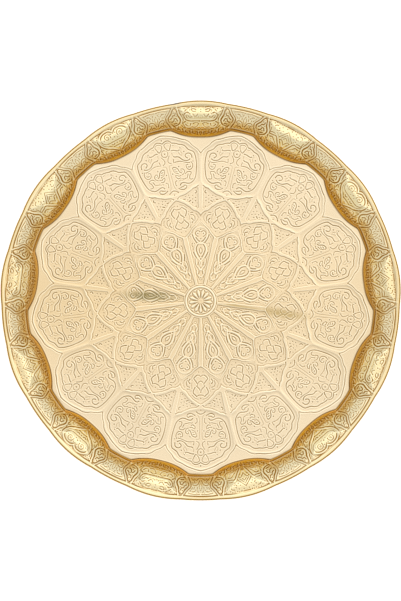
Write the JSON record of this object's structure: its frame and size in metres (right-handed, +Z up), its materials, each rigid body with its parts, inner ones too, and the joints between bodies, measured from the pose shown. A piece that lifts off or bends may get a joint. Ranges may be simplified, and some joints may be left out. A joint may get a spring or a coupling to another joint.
{
  "type": "serving tray",
  "caption": "Round embossed brass serving tray with a flat scalloped floor, a flared lobed rim and a rolled, wired edge.",
  "frame": {"origin": "centre of the flat underside of the floor, where the tray stands", "axes": "+Z up through the middle of the tray, out of its open side; +Y through the middle of one lobe of the rim; +X to the right of it"},
  "size_m": [0.4002, 0.4001, 0.025],
  "materials": {
    "brass_sheet": "polished and embossed, with a soft sheen",
    "steel_wire": "plain drawn wire"
  },
  "bodies": {
    "root": {"floor_sheet": "brass_sheet", "rim_wall": "brass_sheet", "rolled_edge": "brass_sheet", "edge_wire": "steel_wire"}
  },
  "joints": []
}
